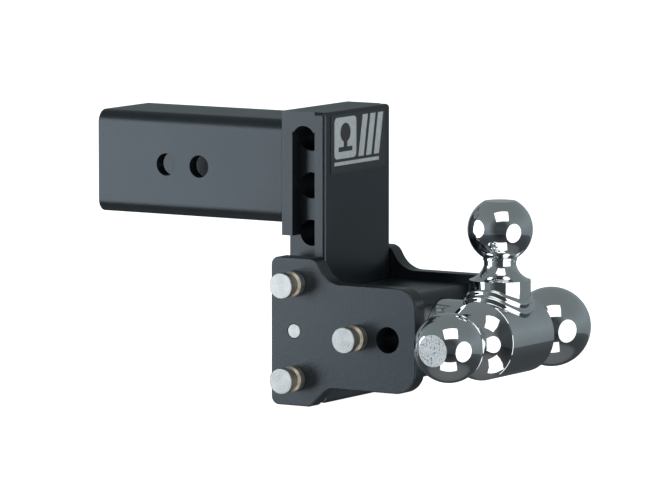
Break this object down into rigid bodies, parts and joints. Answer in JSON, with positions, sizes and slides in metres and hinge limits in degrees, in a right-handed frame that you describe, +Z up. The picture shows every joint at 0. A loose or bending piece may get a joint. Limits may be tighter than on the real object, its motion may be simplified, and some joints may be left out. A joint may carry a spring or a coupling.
{
  "type": "adjustable three-ball trailer hitch ball mount",
  "caption": "Height-adjustable hitch ball mount: square shank, drilled column, pinned carriage and a chromed three-ball head.",
  "frame": {"origin": "centre of the outer hitch pin hole, on the shank's centre line", "axes": "+X along the shank from its open end to the balls, +Z up, +Y along the hitch pin to the far side"},
  "size_m": [0.3539, 0.1967, 0.2145],
  "materials": {
    "black_coat": "satin black powder coat on steel",
    "chrome": "polished chrome plate",
    "stainless": "turned stainless steel",
    "decal": null
  },
  "bodies": {
    "body": {"shank_tube": "black_coat", "shank_weld": "black_coat", "back_plate": "black_coat", "front_plate": "black_coat", "column_core": "black_coat", "near_groove_end": "black_coat", "far_groove_end": "black_coat", "front_decal": "decal", "near_cheek": "black_coat", "far_cheek": "black_coat", "near_guide_pin": "stainless", "far_guide_pin": "stainless", "receiver_block": "black_coat", "near_block_weld": "black_coat", "far_block_weld": "black_coat", "triball_hub": "chrome", "triball_stem": "chrome", "small_ball": "chrome", "medium_ball": "chrome", "large_ball": "chrome"},
    "upper_lock_pin_body": {"upper_lock_pin": "stainless"},
    "lower_lock_pin_body": {"lower_lock_pin": "stainless"},
    "ball_lock_pin_body": {"ball_lock_pin": "stainless"}
  },
  "joints": [
    {"name": "upper_lock_pull", "type": "slide", "parent": "body", "child": "upper_lock_pin_body", "axis": [0, 1, 0], "range_m": [0, 0.138]},
    {"name": "lower_lock_pull", "type": "slide", "parent": "body", "child": "lower_lock_pin_body", "axis": [0, 1, 0], "range_m": [0, 0.138]},
    {"name": "ball_lock_pull", "type": "slide", "parent": "body", "child": "ball_lock_pin_body", "axis": [0, 1, 0], "range_m": [0, 0.138]}
  ]
}
